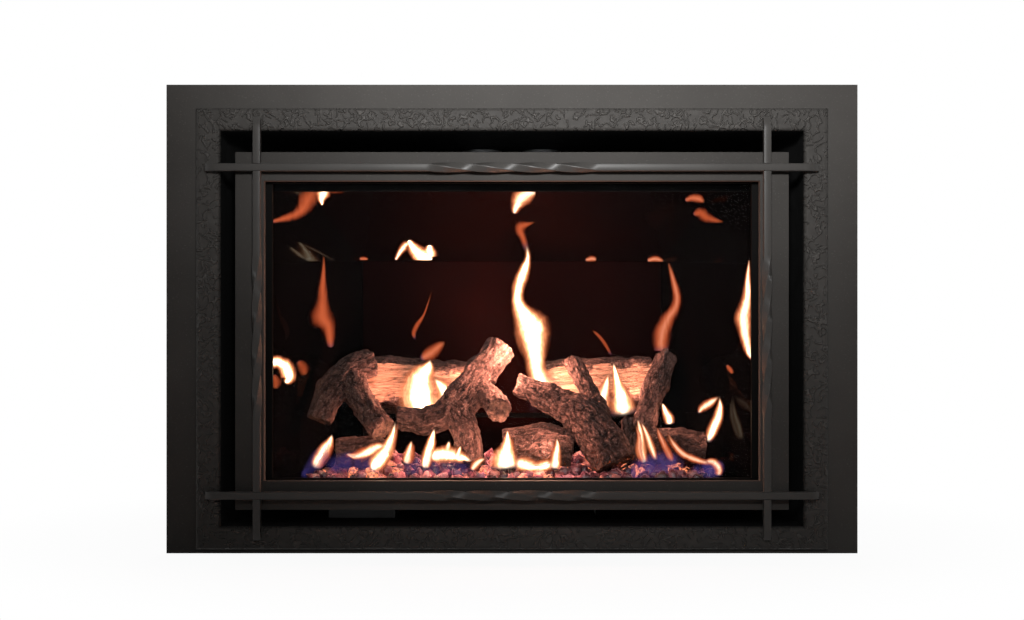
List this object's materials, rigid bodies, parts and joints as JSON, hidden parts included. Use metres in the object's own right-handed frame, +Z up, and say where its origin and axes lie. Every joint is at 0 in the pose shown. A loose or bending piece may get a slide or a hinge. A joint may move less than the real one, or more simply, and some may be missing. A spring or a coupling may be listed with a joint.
{
  "type": "gas fireplace insert",
  "caption": "Gas fireplace insert with a flat surround, textured front frame, twisted bar lattice, tilting glass door, log set and blower.",
  "frame": {"origin": "middle of the width and depth, on the hearth", "axes": "+X to the viewer's right, +Z up, and the decorative front faces -Y"},
  "size_m": [1.19, 0.5466, 0.809],
  "materials": {
    "charcoal_paint": "satin charcoal powder coat",
    "textured_charcoal": "charcoal powder coat over a raised wandering texture",
    "black_steel": "matt high-temperature black paint",
    "door_black": "satin black paint",
    "galvanised_steel": "galvanised sheet",
    "zinc_plate": "zinc plated",
    "stainless_steel": "plain stainless steel",
    "brass_fitting": "plain brass",
    "black_glass": "polished black ceramic glass",
    "clear_glass": "clear ceramic glass",
    "gasket_rope": "woven glass-fibre rope",
    "log_fibre": "painted ceramic fibre with moulded bark",
    "ember_glass": "loose crushed glass and ember pieces",
    "black_plastic": "moulded heat-resistant plastic"
  },
  "bodies": {
    "root": {"surround_panel": "charcoal_paint", "outer_case": "galvanised_steel", "case_top": "galvanised_steel", "base_frame": "black_steel", "levelling_screw_front_left": "zinc_plate", "levelling_screw_front_right": "zinc_plate", "levelling_screw_rear_left": "zinc_plate", "levelling_screw_rear_right": "zinc_plate", "exhaust_collar": "galvanised_steel", "intake_collar": "galvanised_steel", "firebox_shell": "black_steel", "liner_left": "black_glass", "liner_right": "black_glass", "liner_rear": "black_glass", "liner_ceiling": "black_glass", "lintel_baffle": "black_steel", "door_pivot_left": "zinc_plate", "door_pivot_right": "zinc_plate", "door_clip_left": "stainless_steel", "door_clip_right": "stainless_steel", "log_rear_left": "log_fibre", "log_rear_right": "log_fibre", "log_main_left": "log_fibre", "log_fork_right": "log_fibre", "log_fork_left": "log_fibre", "log_upright_right": "log_fibre", "log_front_right": "log_fibre", "log_front_left": "log_fibre", "log_front_middle": "log_fibre", "log_stub_right": "log_fibre", "ember_bed": "ember_glass", "burner_pan": "black_steel", "log_shelf": "black_steel", "pilot_assembly": "stainless_steel", "venturi_tube": "stainless_steel", "gas_valve": "zinc_plate", "gas_line": "brass_fitting", "control_panel": "black_steel", "control_module": "black_plastic", "fan_control": "black_steel", "blower_motor": "black_steel", "blower_housing": "galvanised_steel"},
    "front": {"front_frame": "textured_charcoal", "inner_trim_frame": "charcoal_paint", "bar_upper": "charcoal_paint", "bar_lower": "charcoal_paint", "bar_left": "charcoal_paint", "bar_right": "charcoal_paint"},
    "glass_door": {"glass_door_frame": "door_black", "door_glass": "clear_glass", "door_gasket": "gasket_rope"},
    "blower_rotor": {"blower_shaft": "stainless_steel", "blower_wheel_left": "galvanised_steel", "blower_wheel_right": "galvanised_steel"},
    "valve_control": {"valve_knob": "black_plastic"},
    "flame_control": {"flame_knob": "black_plastic"},
    "fan_speed_control": {"fan_knob": "black_plastic"},
    "igniter": {"igniter_button": "black_plastic"},
    "rocker": {"burner_switch": "black_plastic"},
    "shutter": {"air_shutter": "zinc_plate"}
  },
  "joints": [
    {"name": "front_pull", "type": "slide", "parent": "root", "child": "front", "axis": [0, -1, 0], "range_m": [0, 0.4]},
    {"name": "glass_door_tilt", "type": "hinge", "parent": "root", "child": "glass_door", "pos_m": [0, -0.22474, 0.101], "axis": [1, 0, 0], "range_deg": [0, 30.5]},
    {"name": "blower_spin", "type": "hinge", "parent": "root", "child": "blower_rotor", "pos_m": [0, 0.23726, 0.084], "axis": [1, 0, 0], "continuous": true},
    {"name": "valve_turn", "type": "hinge", "parent": "root", "child": "valve_control", "pos_m": [0.178, -0.15404, 0.079], "axis": [0, 1, 0], "range_deg": [0, 90]},
    {"name": "flame_turn", "type": "hinge", "parent": "root", "child": "flame_control", "pos_m": [0.228, -0.15404, 0.079], "axis": [0, 1, 0], "range_deg": [0, 120]},
    {"name": "fan_speed_turn", "type": "hinge", "parent": "root", "child": "fan_speed_control", "pos_m": [0.386, -0.15404, 0.079], "axis": [0, 1, 0], "range_deg": [0, 270]},
    {"name": "igniter_press", "type": "slide", "parent": "root", "child": "igniter", "axis": [0, 1, 0], "range_m": [0, 0.005], "stiffness_N_per_m": 400},
    {"name": "switch_rock", "type": "hinge", "parent": "root", "child": "rocker", "pos_m": [0.332, -0.13474, 0.079], "axis": [-1, 0, 0], "range_deg": [0, 14]},
    {"name": "shutter_turn", "type": "hinge", "parent": "root", "child": "shutter", "pos_m": [0.108, -0.08874, 0.08], "axis": [1, 0, 0], "range_deg": [0, 35]}
  ],
  "couplings": [
    {"joint": "glass_door_tilt", "follows": "front_pull", "rad_per_m": 1.309}
  ]
}
